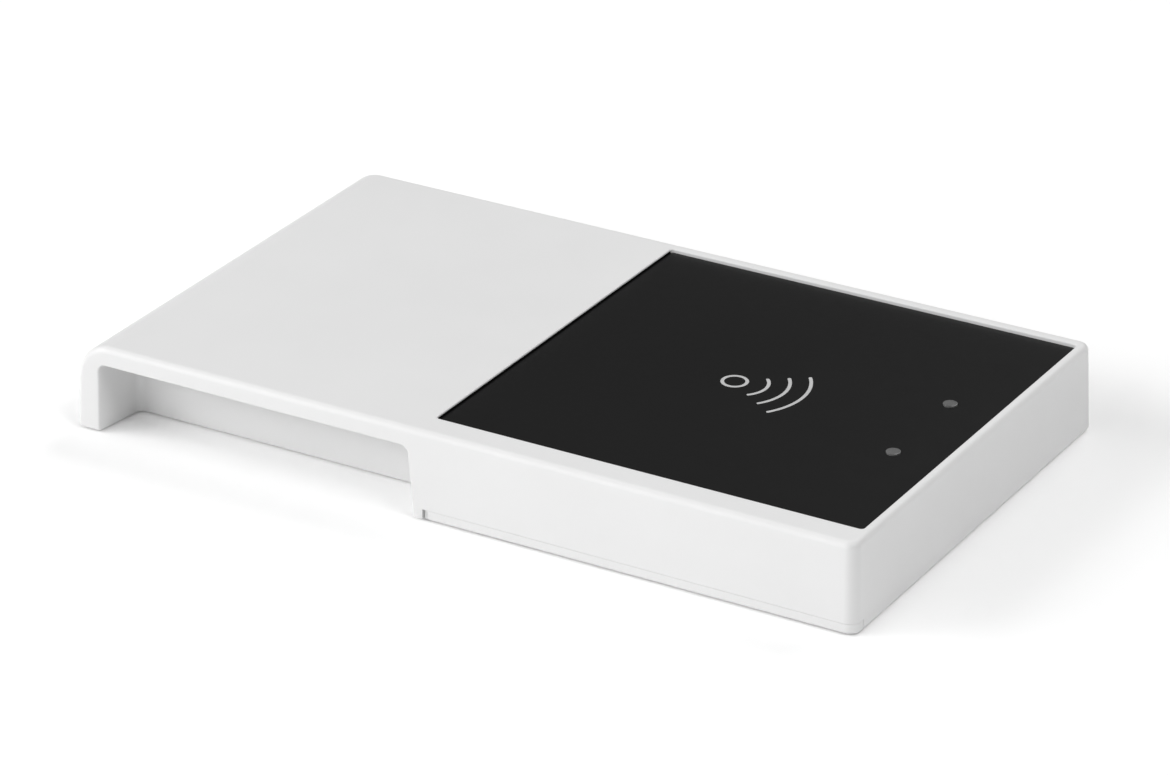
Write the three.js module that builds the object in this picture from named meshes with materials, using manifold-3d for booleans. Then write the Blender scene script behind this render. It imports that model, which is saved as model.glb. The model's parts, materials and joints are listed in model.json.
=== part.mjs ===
// Desktop ticket validator: a flat white housing with a black contactless reading panel set into
// its right half, two status lamps, and a cable bay cut into its front left side.
// Millimetres, +Z up. The origin is on the table, under the middle of the housing.
// X runs along the long side with the reading panel at +X, and the cable bay opens towards -Y.

import * as THREE from 'three';
import { mergeVertices } from 'three/addons/utils/BufferGeometryUtils.js';
import Module from 'manifold-3d';

const wasm = await Module();
wasm.setup();

// ---- Driving dimensions ----

const housing = {
  length: 144,
  depth: 84.4,
  height: 15.3,
  wall: 2.2,
  roof: 2.2,
  cornerRadius: 2,
  edgeRadius: 1.1,
  leftEdgeRadius: 6,
  draftSlope: 0.036,
};

const clearance = { fit: 0.3, slide: 0.2, seam: 0.15 };

const foot = { radius: 5, proud: 0.25, pocket: 0.75, insetX: 17, insetY: 9, fromBay: 2, edge: 0.2 };

const plate = {
  thickness: 1.8, ribHeight: 1.5, ribWidth: 1.2, cupHeight: 1.2, cupWall: 1, notchWidth: 1, notchDepth: 0.6,
};

const bay = {
  width: 59.6,
  depth: 10,
  roof: 3.3,
  leftWall: 4.4,
  sideWall: 1.4,
  backWall: 1.8,
  cornerRadius: 1.3,
  rearRadius: 1.5,
  leftTaper: 1.4,
  rightLean: 1.3,
};

const panel = {
  width: 75.8,
  depth: 75.5,
  thickness: 1.4,
  sunk: 0.5,
  rightRim: 1.6,
  backRim: 2.4,
  cornerRadius: 0.6,
  windowEdge: 0.25,
  pocketFloor: 1.3,
};
const gasket = { thickness: 0.15, width: 6, below: 0.18 };

const lamp = { radius: 1.2, spacing: 19.8, rightInset: 8.35, flangeRadius: 1.9, flange: 1, dome: 0.4 };
const led = { length: 1.6, width: 2.2, height: 0.9 };
const label = { length: 46, width: 26, thickness: 0.2, x: 6, y: 6 };

const caseScrew = { headRadius: 2.5, headHeight: 1.3, shankRadius: 1.3, length: 8, fromRib: 0.6 };
const caseBoss = { radius: 3.2, hole: 1.35, holeDepth: 7.2, fromBay: 1.2 };

const board = { thickness: 1.6, topDrop: 8.5, edgeGap: 0.8, frontGap: 1.2, sideGap: 2.2 };
const boardScrew = { headRadius: 2.1, headHeight: 1.4, shankRadius: 1, length: 5 };
const boardPost = {
  radius: 2.5,
  hole: 1.05,
  holeDepth: 5,
  leftInset: 18,
  rightInset: 20,
  fromEdge: 1.2,
  fromBay: 4,
};

const antenna = { length: 56, depth: 62, thickness: 1, leftOfMiddle: 3 };
const loop = { trace: 1, pitch: 2.2, turns: 4, copper: 0.15, fromHeader: 3, fromEdge: 1.5, tail: 8 };
const header = { width: 2.5, length: 10.2 };
const ferrite = { thickness: 0.5, gap: 0.2, fromLoop: 1.2 };

const usb = { length: 5.6, width: 7.5, height: 2.7, sheet: 0.3, setback: 0.3 };
const tongue = { width: 4.6, thickness: 0.6 };
const sam = { length: 25, width: 15, thickness: 0.76, clip: 3 };
const holder = { right: 15.8, behind: 57.4, frame: 1.4, height: 2.4, floor: 0.7, lip: 2 };

// Pieces on the main board: right is counted from the cable socket, behind from the bay's rear wall.
const shield = { right: 7.8, behind: 38.4, length: 20, width: 17, height: 2.6, sheet: 0.3 };
const reader = { left: 3, side: 6, height: 0.9 };
const controller = { right: 7.8, behind: 20.4, side: 9, height: 1.4 };
const regulator = { right: 27.8, behind: 17.4, length: 6.5, width: 3.6, height: 1.6 };
const inductor = { right: 18.8, behind: 15.4, side: 5, height: 2.4 };
const crystal = { right: 25.5, behind: 25.4, length: 11, width: 4.6, height: 3.4 };
const capacitor = { rights: [27.8, 20.8], behind: 7.4, radius: 2.5, height: 4.8, shoulder: 0.4 };
const sounder = { left: 8.2, behind: 38.4, radius: 4.8, height: 4.6, vent: 0.9, ventDepth: 1.5 };


// ---- Levels and places that follow from the dimensions ----

const bodyBottom = foot.proud;
const bodyTop = bodyBottom + housing.height;
const plateTop = bodyBottom + plate.thickness;
const halfLength = housing.length / 2;
const halfDepth = housing.depth / 2;
const draftShift = housing.height * housing.draftSlope;

const panelTop = bodyTop - panel.sunk;
const panelBottom = panelTop - panel.thickness;
const pocketBottom = panelBottom - gasket.thickness;
const pocketCeiling = pocketBottom - panel.pocketFloor;
const ceiling = bodyTop - housing.roof;
const windowRight = halfLength - draftShift - panel.rightRim;
const windowLeft = windowRight - panel.width;
const windowBack = halfDepth - draftShift - panel.backRim;
const windowFront = windowBack - panel.depth;
const windowMidX = (windowLeft + windowRight) / 2;

const bayLeft = -halfLength + bay.leftWall;
const bayRight = bayLeft + bay.width;
const bayFloorRight = bayRight + bay.rightLean;
const bayBack = -halfDepth + bay.depth;
const bayTop = bodyTop - bay.roof;
const bayWallRight = bayFloorRight + bay.sideWall;
const bayWallBack = bayBack + bay.backWall;

const boardTop = bodyTop - board.topDrop;
const boardBottom = boardTop - board.thickness;
const lampX = windowRight - lamp.rightInset;
const lampPlaces = { rear: lamp.spacing / 2, front: -lamp.spacing / 2 };

const plateSide = halfLength - housing.wall - clearance.fit;
const plateRear = halfDepth - housing.wall - clearance.fit;
const cupRadius = caseScrew.headRadius + clearance.slide + plate.cupWall;
const screwX = plateSide - plate.ribWidth - caseScrew.fromRib - cupRadius;
const screwY = plateRear - plate.ribWidth - caseScrew.fromRib - cupRadius;
const frontLeftScrewY = bayWallBack + caseBoss.radius + caseBoss.fromBay;
const caseScrewPlaces = {
  rear_left: [-screwX, screwY],
  rear_right: [screwX, screwY],
  front_left: [-screwX, frontLeftScrewY],
  front_right: [screwX, -screwY],
};

const postLeft = -halfLength + boardPost.leftInset;
const postRight = halfLength - boardPost.rightInset;
const postY = halfDepth - housing.wall - board.edgeGap - boardPost.radius - boardPost.fromEdge;
const boardScrewPlaces = {
  rear_left: [postLeft, postY],
  rear_right: [postRight, postY],
  front_left: [postLeft, bayWallBack + boardPost.radius + boardPost.fromBay],
  front_right: [postRight, -postY],
};

const footX = halfLength - foot.insetX;
const footY = halfDepth - foot.insetY;
const footPlaces = {
  rear_left: [-footX, footY],
  rear_right: [footX, footY],
  front_left: [-footX, bayWallBack + foot.radius + foot.fromBay],
  front_right: [footX, -footY],
};

// ---- Materials ----

function material(color, roughness, metalness = 0) {
  return new THREE.MeshStandardMaterial({ color, roughness, metalness });
}

const whitePlastic = material(0xeeeeec, 0.5);
const panelPlastic = material(0x222224, 0.42);
const smokedLens = material(0x5c5c60, 0.2);
const foamBlack = material(0x2b2b2b, 0.8);
const rubber = material(0x2f2f31, 0.85);
const labelFilm = material(0xd9dadb, 0.45);
const boardGreen = material(0x1f5a3a, 0.5);
const copper = material(0xb87333, 0.35, 1);
const ferriteGrey = material(0x3a3a3c, 0.7);
const sheetMetal = material(0xc9ccd0, 0.3, 1);
const screwSteel = material(0xb9bcc0, 0.35, 1);
const chipBlack = material(0x1b1b1d, 0.55);
const ledBody = material(0xf3f3ea, 0.4);
const buzzerBlack = material(0x1d1d1f, 0.6);
const samPlastic = material(0xf2f2f0, 0.5);
const headerPlastic = material(0x26262a, 0.6);

// ---- Geometry helpers ----

function solid(geometry) {
  const plain = geometry.clone();
  for (const name of Object.keys(plain.attributes)) {
    if (name !== 'position') plain.deleteAttribute(name);
  }
  const merged = mergeVertices(plain, 1e-5);
  const vertProperties = new Float32Array(merged.attributes.position.array);
  const triVerts = new Uint32Array(merged.index.array);
  return new wasm.Manifold(new wasm.Mesh({ numProp: 3, vertProperties, triVerts }));
}

function geometryOf(shape) {
  const mesh = shape.getMesh();
  const geometry = new THREE.BufferGeometry();
  geometry.setAttribute('position', new THREE.BufferAttribute(mesh.vertProperties, 3));
  geometry.setIndex(new THREE.BufferAttribute(mesh.triVerts, 1));
  geometry.computeVertexNormals();
  return geometry;
}

function block(x0, x1, y0, y1, z0, z1) {
  const geometry = new THREE.BoxGeometry(x1 - x0, y1 - y0, z1 - z0);
  geometry.translate((x0 + x1) / 2, (y0 + y1) / 2, (z0 + z1) / 2);
  return solid(geometry);
}

function centredBlock(x, y, z0, lengthX, lengthY, height) {
  return block(x - lengthX / 2, x + lengthX / 2, y - lengthY / 2, y + lengthY / 2, z0, z0 + height);
}

function post(x, y, z0, z1, radius, sides = 24) {
  const geometry = new THREE.CylinderGeometry(radius, radius, z1 - z0, sides);
  geometry.rotateX(Math.PI / 2);
  geometry.translate(x, y, (z0 + z1) / 2);
  return solid(geometry);
}

function turned(x, y, points, sides = 24) {
  const geometry = new THREE.LatheGeometry(points.map(([r, z]) => new THREE.Vector2(r, z)), sides);
  geometry.rotateX(Math.PI / 2);
  geometry.translate(x, y, 0);
  return solid(geometry);
}

function prism(outline, z0, z1, curveSegments = 5) {
  const options = { depth: z1 - z0, bevelEnabled: false, curveSegments };
  const geometry = new THREE.ExtrudeGeometry(outline, options);
  geometry.translate(0, 0, z0);
  return solid(geometry);
}

// A shape drawn in X and Z, pushed along Y.
function profilePrism(outline, y0, y1, curveSegments = 8) {
  const options = { depth: y1 - y0, bevelEnabled: false, curveSegments };
  const geometry = new THREE.ExtrudeGeometry(outline, options);
  geometry.rotateX(Math.PI / 2);
  geometry.translate(0, y1, 0);
  return solid(geometry);
}

function roundedRectangle(x0, x1, y0, y1, radius) {
  const shape = new THREE.Shape();
  shape.absarc(x1 - radius, y0 + radius, radius, -Math.PI / 2, 0);
  shape.absarc(x1 - radius, y1 - radius, radius, 0, Math.PI / 2);
  shape.absarc(x0 + radius, y1 - radius, radius, Math.PI / 2, Math.PI);
  shape.absarc(x0 + radius, y0 + radius, radius, Math.PI, Math.PI * 1.5);
  shape.closePath();
  return shape;
}

function polygon(points) {
  return new THREE.Shape(points.map(([x, y]) => new THREE.Vector2(x, y)));
}

// Walls lean outwards towards the table by the moulding draft.
function lean(geometry) {
  const place = geometry.attributes.position;
  for (let i = 0; i < place.count; i += 1) {
    const shift = (bodyTop - place.getZ(i)) * housing.draftSlope;
    place.setX(i, place.getX(i) + Math.sign(place.getX(i)) * shift);
    place.setY(i, place.getY(i) + Math.sign(place.getY(i)) * shift);
  }
  return geometry;
}

// The housing's outer form, moved inwards by inset, from bottom to top.
function housingForm(inset, bottom, top, edgeRadius) {
  const reach = halfLength - draftShift - inset;
  const girth = halfDepth - draftShift - inset;
  const corner = Math.max(housing.cornerRadius - inset, 0.5);
  const outline = roundedRectangle(-reach, reach, -girth, girth, corner);
  const below = 3;
  const geometry = new THREE.ExtrudeGeometry(outline, {
    depth: top - bottom + below - 2 * edgeRadius,
    bevelThickness: edgeRadius,
    bevelSize: edgeRadius,
    bevelOffset: -edgeRadius,
    bevelSegments: 4,
    curveSegments: 5,
  });
  geometry.translate(0, 0, bottom - below + edgeRadius);
  const sides = solid(lean(geometry));

  const far = housing.length;
  const radius = Math.max(housing.leftEdgeRadius - inset, 0.5);
  const left = -reach - (top - bottom) * housing.draftSlope;
  const profile = new THREE.Shape();
  profile.moveTo(left, bottom);
  profile.lineTo(far, bottom);
  profile.lineTo(far, top);
  profile.lineTo(-reach + radius, top);
  profile.absarc(-reach + radius, top - radius, radius, Math.PI / 2, Math.PI);
  profile.closePath();
  return sides.intersect(profilePrism(profile, -far, far));
}

const group = new THREE.Group();
group.name = 'ticket_validator';

function addPiece(name, shape, look) {
  const mesh = new THREE.Mesh(geometryOf(shape), look);
  mesh.name = name;
  group.add(mesh);
}

// ---- Cable bay: the space itself, and the block its walls are cut from ----

function bayForm() {
  const lowest = bodyBottom - 1;
  const front = -halfDepth - 1;
  const r = bay.cornerRadius;
  const slope = bay.rightLean / (bayTop - bodyBottom);
  const profile = new THREE.Shape();
  profile.moveTo(bayLeft, lowest);
  profile.lineTo(bayFloorRight + slope, lowest);
  profile.lineTo(bayRight + slope * r, bayTop - r);
  profile.quadraticCurveTo(bayRight, bayTop, bayRight - r, bayTop);
  profile.lineTo(bayLeft + r, bayTop);
  profile.absarc(bayLeft + r, bayTop - r, r, Math.PI / 2, Math.PI);
  profile.closePath();

  const rear = bay.rearRadius;
  const taper = bay.leftTaper;
  const plan = new THREE.Shape();
  plan.moveTo(bayLeft - taper * 0.1, front);
  plan.lineTo(bayFloorRight + 1, front);
  plan.lineTo(bayFloorRight + 1, bayBack);
  plan.lineTo(bayLeft + taper + rear, bayBack);
  plan.quadraticCurveTo(bayLeft + taper, bayBack, bayLeft + taper, bayBack - rear);
  plan.closePath();
  return profilePrism(profile, front, bayBack + 1, 4).intersect(prism(plan, lowest, bayTop + 1, 4));
}

function bayBlock() {
  return block(-halfLength, bayWallRight, -halfDepth, bayWallBack, bodyBottom, bodyTop);
}

// ---- Base plate outline: inside the cover's walls, and out to the front face beside the bay ----

const lipEnd = -halfDepth + housing.cornerRadius + draftShift + 0.2;

function plateOutline(grow) {
  const side = plateSide + grow;
  const lipLeft = bayWallRight + clearance.fit - grow;
  const behindBay = bayWallBack + clearance.fit - grow;
  const beyond = halfLength + 2;
  const front = -halfDepth - 2;
  return polygon([
    [-side, behindBay],
    [lipLeft, behindBay],
    [lipLeft, front],
    [beyond, front],
    [beyond, lipEnd + grow],
    [side, lipEnd + grow],
    [side, plateRear + grow],
    [-side, plateRear + grow],
  ]);
}

// The edge of the window that the reading panel sits in, moved inwards by gap.
function windowOutline(gap) {
  const [x0, x1] = [windowLeft + gap, windowRight - gap];
  return roundedRectangle(x0, x1, windowFront + gap, windowBack - gap, panel.cornerRadius);
}

// The window's rounded top edge, as two slopes all round the opening.
function windowFlare() {
  const r = panel.windowEdge;
  const near = r * (1 - Math.SQRT1_2);
  const level = (gap, z) => prism(windowOutline(gap), z, z + 0.01, 3);
  const { hull } = wasm.Manifold;
  const lower = hull([level(0, bodyTop - r - 0.01), level(-near, bodyTop - near - 0.01)]);
  return lower.add(hull([level(-near, bodyTop - near - 0.01), level(-r - 0.01, bodyTop)]));
}

// ---- Housing ----

// The cable socket faces out of the bay's rear wall, halfway along the bay.
const usbX = bayLeft + bay.width / 2;
const usbFront = bayBack + usb.setback;

function usbPassage() {
  const gap = clearance.slide;
  const x0 = usbX - usb.width / 2 - gap;
  const z0 = boardTop - gap;
  return block(x0, x0 + usb.width + 2 * gap, bayBack - 1, bayWallBack + 1, z0, z0 + usb.height + 2 * gap);
}

function makeTopCover() {
  const cavity = housingForm(housing.wall, bodyBottom - 1, ceiling, 0.4).subtract(bayBlock());
  const pocketFrame = block(windowLeft - 2, halfLength, -halfDepth, halfDepth, pocketCeiling, bodyTop);
  const pocket = prism(windowOutline(0), pocketBottom, bodyTop + 1, 3);
  let cover = housingForm(0, bodyBottom, bodyTop, housing.edgeRadius);
  cover = cover.subtract(cavity.subtract(pocketFrame));
  for (const [x, y] of Object.values(caseScrewPlaces)) {
    cover = cover.add(post(x, y, plateTop + plate.cupHeight, ceiling, caseBoss.radius));
  }
  for (const [x, y] of Object.values(boardScrewPlaces)) {
    cover = cover.add(post(x, y, boardTop, ceiling, boardPost.radius));
  }
  cover = cover.subtract(pocket).subtract(windowFlare()).subtract(bayForm()).subtract(usbPassage());
  for (const [x, y] of Object.values(caseScrewPlaces)) {
    const start = plateTop + plate.cupHeight;
    cover = cover.subtract(post(x, y, start - 1, start + caseBoss.holeDepth, caseBoss.hole, 16));
  }
  for (const [x, y] of Object.values(boardScrewPlaces)) {
    cover = cover.subtract(post(x, y, boardTop - 1, boardTop + boardPost.holeDepth, boardPost.hole, 16));
  }
  for (const y of Object.values(lampPlaces)) {
    const hole = lamp.radius + clearance.slide;
    cover = cover.subtract(post(lampX, y, pocketCeiling - 1, bodyTop, hole));
  }
  return cover.subtract(prism(plateOutline(clearance.seam), bodyBottom - 1, plateTop + clearance.seam));
}

addPiece('top_cover', makeTopCover(), whitePlastic);

function makeBasePlate() {
  const outer = housingForm(0, bodyBottom, bodyTop, housing.edgeRadius);
  let base = outer.intersect(prism(plateOutline(0), bodyBottom, plateTop));

  const inside = plateSide - plate.ribWidth;
  const backInside = plateRear - plate.ribWidth;
  const ribFront = bayWallBack + clearance.fit;
  const rib = block(-plateSide, plateSide, ribFront, plateRear, bodyBottom, plateTop + plate.ribHeight);
  const room = block(-inside, inside, ribFront - 1, backInside, plateTop, bodyTop);
  base = base.add(rib.subtract(room));

  for (const [x, y] of Object.values(caseScrewPlaces)) {
    base = base.add(post(x, y, bodyBottom + 0.2, plateTop + plate.cupHeight, cupRadius));
  }
  for (const [x, y] of Object.values(caseScrewPlaces)) {
    const head = caseScrew.headRadius + clearance.slide;
    const seat = bodyBottom + caseScrew.headHeight + clearance.slide;
    base = base.subtract(post(x, y, bodyBottom - 1, seat, head));
    base = base.subtract(post(x, y, bodyBottom, bodyTop, caseScrew.shankRadius + clearance.slide, 16));
  }
  for (const [x, y] of Object.values(footPlaces)) {
    const pocketRadius = foot.radius + clearance.slide;
    base = base.subtract(post(x, y, bodyBottom - 1, bodyBottom + foot.pocket, pocketRadius, 32));
  }
  return base.subtract(labelPocket()).subtract(pryNotch());
}

// A small notch beside the bay, where the base plate's front lip can be prised off.
function pryNotch() {
  const left = bayWallRight + clearance.fit;
  const back = -halfDepth + plate.notchDepth;
  return block(left - 1, left + plate.notchWidth, -halfDepth - 1, back, bodyBottom - 1, plateTop + 1);
}

function labelPocket() {
  const gap = clearance.slide;
  return centredBlock(
    label.x, label.y, bodyBottom - 1, label.length + 2 * gap, label.width + 2 * gap, 1 + label.thickness,
  );
}

addPiece('base_plate', makeBasePlate(), whitePlastic);
addPiece(
  'type_label',
  centredBlock(label.x, label.y, bodyBottom, label.length, label.width, label.thickness),
  labelFilm,
);

for (const [place, [x, y]] of Object.entries(footPlaces)) {
  const r = foot.radius;
  const top = foot.proud + foot.pocket;
  const profile = [[0, 0], [r - foot.edge, 0], [r, foot.edge], [r, top], [0, top]];
  addPiece(`foot_${place}`, turned(x, y, profile, 32), rubber);
}

// A pan-head screw that points up, with its head at the bottom. Shares of the head and shank size.
const screwForm = { crown: 0.7, brim: 0.4, tip: 0.3, slotWidth: 0.25, slotLength: 1.1, slotDepth: 0.55 };

function screw(x, y, headBottom, size) {
  const head = size.headRadius;
  const shank = size.shankRadius;
  const top = headBottom + size.headHeight;
  const tip = top + size.length;
  const body = turned(x, y, [
    [0, headBottom], [head * screwForm.crown, headBottom],
    [head, headBottom + size.headHeight * screwForm.brim], [head, top],
    [shank, top], [shank, tip - shank], [shank * screwForm.tip, tip], [0, tip],
  ], 20);
  const slot = [head * screwForm.slotLength, head * screwForm.slotWidth];
  const depth = 1 + size.headHeight * screwForm.slotDepth;
  return body.subtract(centredBlock(x, y, headBottom - 1, slot[0], slot[1], depth))
    .subtract(centredBlock(x, y, headBottom - 1, slot[1], slot[0], depth));
}

for (const [place, [x, y]] of Object.entries(caseScrewPlaces)) {
  addPiece(`case_screw_${place}`, screw(x, y, bodyBottom + clearance.slide, caseScrew), screwSteel);
}

// ---- Reading panel ----

function makePanel() {
  let plain = prism(windowOutline(clearance.slide), panelBottom, panelTop, 3);
  for (const y of Object.values(lampPlaces)) {
    plain = plain.subtract(post(lampX, y, panelBottom - 1, panelTop + 1, lamp.radius + clearance.slide));
  }
  return plain;
}

addPiece('reading_panel', makePanel(), panelPlastic);

// A thin foam frame under the panel's edge, turned up into the gap round the panel.
function makeGasket() {
  const rim = prism(windowOutline(0), pocketBottom, panelTop - gasket.below, 3);
  const seat = prism(windowOutline(clearance.slide), panelBottom, panelTop, 3);
  const [x0, x1] = [windowLeft + gasket.width, windowRight - gasket.width];
  const [y0, y1] = [windowFront + gasket.width, windowBack - gasket.width];
  let frame = rim.subtract(seat).subtract(block(x0, x1, y0, y1, pocketBottom - 1, panelTop));
  for (const y of Object.values(lampPlaces)) {
    const hole = lamp.radius + 1;
    frame = frame.subtract(post(lampX, y, pocketBottom - 1, panelBottom + 1, hole));
  }
  return frame;
}

addPiece('panel_gasket', makeGasket(), foamBlack);

// ---- Status lamps: a light pipe from each board lamp up through the panel ----

for (const [place, y] of Object.entries(lampPlaces)) {
  const flangeTop = pocketCeiling;
  const r = lamp.radius;
  const domeTop = panelTop + lamp.dome;
  const start = boardTop + led.height + clearance.fit;
  const pipe = turned(lampX, y, [
    [0, start], [r, start], [r, flangeTop - lamp.flange], [lamp.flangeRadius, flangeTop - lamp.flange],
    [lamp.flangeRadius, flangeTop], [r, flangeTop], [r, panelTop], [r * 0.8, domeTop - lamp.dome * 0.35],
    [r * 0.45, domeTop - lamp.dome * 0.08], [0, domeTop],
  ]);
  addPiece(`lamp_lens_${place}`, pipe, smokedLens);
  const body = centredBlock(lampX, y, boardTop, led.length, led.width, led.height);
  addPiece(`lamp_led_${place}`, body, ledBody);
}

// ---- Main board ----

const boardRight = halfLength - housing.wall - board.sideGap;
const boardRear = halfDepth - housing.wall - board.edgeGap;
const boardStep = bayWallRight + board.edgeGap;

function makeMainBoard() {
  const behindBay = bayWallBack + board.edgeGap;
  const leftPart = block(-boardRight, boardStep + 1, behindBay, boardRear, boardBottom, boardTop);
  const boardFront = -boardRear + board.frontGap;
  const rightPart = block(boardStep, boardRight, boardFront, boardRear, boardBottom, boardTop);
  let plain = leftPart.add(rightPart);
  const keep = caseBoss.radius + board.edgeGap;
  for (const [place, [x, y]] of Object.entries(caseScrewPlaces)) {
    const [nearX, farX] = [x - Math.sign(x) * keep, Math.sign(x) * halfLength];
    const [nearY, farY] = place.startsWith('rear') ? [y - keep, halfDepth] : [y + keep, -halfDepth];
    plain = plain.subtract(block(
      Math.min(nearX, farX), Math.max(nearX, farX), Math.min(nearY, farY), Math.max(nearY, farY),
      boardBottom - 1, boardTop + 1,
    ));
  }
  const hole = boardScrew.shankRadius + clearance.slide;
  for (const [x, y] of Object.values(boardScrewPlaces)) {
    plain = plain.subtract(post(x, y, boardBottom - 1, boardTop + 1, hole, 16));
  }
  return plain;
}

addPiece('main_board', makeMainBoard(), boardGreen);

for (const [place, [x, y]] of Object.entries(boardScrewPlaces)) {
  const body = screw(x, y, boardBottom - boardScrew.headHeight, boardScrew);
  addPiece(`board_screw_${place}`, body, screwSteel);
}

// ---- Antenna board with its loop, under the panel pocket ----

const antennaX0 = windowMidX - antenna.length / 2 - antenna.leftOfMiddle;
const antennaX1 = antennaX0 + antenna.length;
const antennaBottom = pocketCeiling - antenna.thickness;
const loopLeft = antennaX0 + header.width + loop.fromHeader;

addPiece(
  'antenna_board',
  block(antennaX0, antennaX1, -antenna.depth / 2, antenna.depth / 2, antennaBottom, pocketCeiling),
  boardGreen,
);

// A flat square spiral, from the outer end inwards, as one closed band.
function spiralBand() {
  const half = loop.trace / 2;
  const outer = [];
  const inner = [];
  for (let turn = 0; turn < loop.turns; turn += 1) {
    const x0 = loopLeft + turn * loop.pitch;
    const x1 = antennaX1 - loop.fromEdge - turn * loop.pitch;
    const y1 = antenna.depth / 2 - loop.fromEdge - turn * loop.pitch;
    const y0 = -y1;
    const entry = turn === 0 ? x0 : x0 - loop.pitch;
    outer.push([entry - half, y0 - half], [x1 + half, y0 - half]);
    outer.push([x1 + half, y1 + half], [x0 - half, y1 + half]);
    inner.push([entry + half, y0 + half], [x1 - half, y0 + half]);
    inner.push([x1 - half, y1 - half], [x0 + half, y1 - half]);
  }
  const endY = -antenna.depth / 2 + loop.tail + loop.turns * loop.pitch;
  const last = outer.length - 1;
  outer.push([outer[last][0], endY]);
  inner.push([inner[last][0], endY]);
  inner[0] = [outer[0][0], inner[0][1]];
  return polygon([...outer, ...inner.reverse()]);
}

addPiece('antenna_loop', prism(spiralBand(), antennaBottom - loop.copper, antennaBottom), copper);

const ferriteTop = antennaBottom - loop.copper - ferrite.gap;
addPiece(
  'ferrite_sheet',
  block(
    loopLeft - ferrite.fromLoop, antennaX1, -antenna.depth / 2, antenna.depth / 2,
    ferriteTop - ferrite.thickness, ferriteTop,
  ),
  ferriteGrey,
);

const headerHeight = antennaBottom - boardTop;
addPiece(
  'antenna_header',
  centredBlock(antennaX0 + header.width, 0, boardTop, header.width, header.length, headerHeight),
  headerPlastic,
);

// ---- Parts on the main board ----

function openBox(x, y, lengthX, lengthY, height, sheet) {
  const outer = centredBlock(x, y, boardTop, lengthX, lengthY, height);
  const [roomX, roomY] = [lengthX - 2 * sheet, lengthY - 2 * sheet];
  return outer.subtract(centredBlock(x, y, boardTop - 1, roomX, roomY, height + 1 - sheet));
}

const shieldX = usbX + shield.right;
const shieldY = bayWallBack + shield.behind;
addPiece(
  'shield_can',
  openBox(shieldX, shieldY, shield.length, shield.width, shield.height, shield.sheet),
  sheetMetal,
);

function addChip(name, x, y, length, width, height, look) {
  addPiece(name, centredBlock(x, y, boardTop, length, width, height), look);
}

function addBoardChip(name, size, length, width, look) {
  addChip(name, usbX + size.right, bayWallBack + size.behind, length, width, size.height, look);
}

const readerX = shieldX - reader.left;
addChip('reader_chip', readerX, shieldY, reader.side, reader.side, reader.height, chipBlack);
addBoardChip('controller_chip', controller, controller.side, controller.side, chipBlack);
addBoardChip('power_regulator', regulator, regulator.length, regulator.width, chipBlack);
addBoardChip('power_inductor', inductor, inductor.side, inductor.side, ferriteGrey);

function makeCrystal() {
  const x0 = usbX + crystal.right - crystal.length / 2;
  const y0 = bayWallBack + crystal.behind - crystal.width / 2;
  const end = crystal.width / 2 - 0.05;
  const outline = roundedRectangle(x0, x0 + crystal.length, y0, y0 + crystal.width, end);
  return prism(outline, boardTop, boardTop + crystal.height, 4);
}

addPiece('clock_crystal', makeCrystal(), sheetMetal);

function makeCapacitor(x, y) {
  const r = capacitor.radius;
  const top = boardTop + capacitor.height;
  const slope = capacitor.shoulder;
  return turned(x, y, [[0, boardTop], [r, boardTop], [r, top - slope], [r - slope, top], [0, top]], 20);
}

for (const [index, right] of capacitor.rights.entries()) {
  const place = [usbX + right, bayWallBack + capacitor.behind];
  addPiece(`smoothing_capacitor_${index + 1}`, makeCapacitor(...place), sheetMetal);
}

function makeSounder() {
  const top = boardTop + sounder.height;
  const ventFloor = top - sounder.ventDepth;
  return turned(usbX - sounder.left, bayWallBack + sounder.behind, [
    [0, boardTop], [sounder.radius, boardTop], [sounder.radius, top],
    [sounder.vent, top], [sounder.vent, ventFloor], [0, ventFloor],
  ], 28);
}

addPiece('sounder', makeSounder(), buzzerBlack);

// ---- Security card and its holder ----

const samX = usbX + holder.right;
const samY = bayWallBack + holder.behind;
const samBottom = boardTop + holder.floor;

function makeSamHolder() {
  const gap = clearance.slide;
  const [reach, girth] = [sam.length / 2, sam.width / 2];
  const [length, width] = [sam.length + 2 * holder.frame, sam.width + 2 * holder.frame];
  const mouth = samX - reach - holder.frame - 1;
  const outer = centredBlock(samX, samY, boardTop, length, width, holder.height);
  const slot = block(
    mouth, samX + reach + gap, samY - girth - gap, samY + girth + gap,
    samBottom, samBottom + sam.thickness + gap,
  );
  const view = block(
    mouth, samX + reach - holder.lip, samY - girth + holder.lip, samY + girth - holder.lip,
    samBottom, boardTop + holder.height + 1,
  );
  return outer.subtract(slot).subtract(view);
}

addPiece('sam_holder', makeSamHolder(), headerPlastic);

function makeSamCard() {
  const [x0, x1] = [samX - sam.length / 2, samX + sam.length / 2];
  const [y0, y1] = [samY - sam.width / 2, samY + sam.width / 2];
  const outline = polygon([[x0, y0], [x1, y0], [x1, y1 - sam.clip], [x1 - sam.clip, y1], [x0, y1]]);
  return prism(outline, samBottom, samBottom + sam.thickness);
}

addPiece('sam_card', makeSamCard(), samPlastic);

// ---- Cable socket: its mouth opens into the bay, towards the front ----

function makeUsbShell() {
  const t = usb.sheet;
  const [x0, x1] = [usbX - usb.width / 2, usbX + usb.width / 2];
  const rear = usbFront + usb.length;
  const outer = block(x0, x1, usbFront, rear, boardTop, boardTop + usb.height);
  const mouth = block(x0 + t, x1 - t, usbFront - 1, rear - t, boardTop + t, boardTop + usb.height - t);
  return outer.subtract(mouth);
}

addPiece('cable_socket_shell', makeUsbShell(), sheetMetal);

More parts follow.
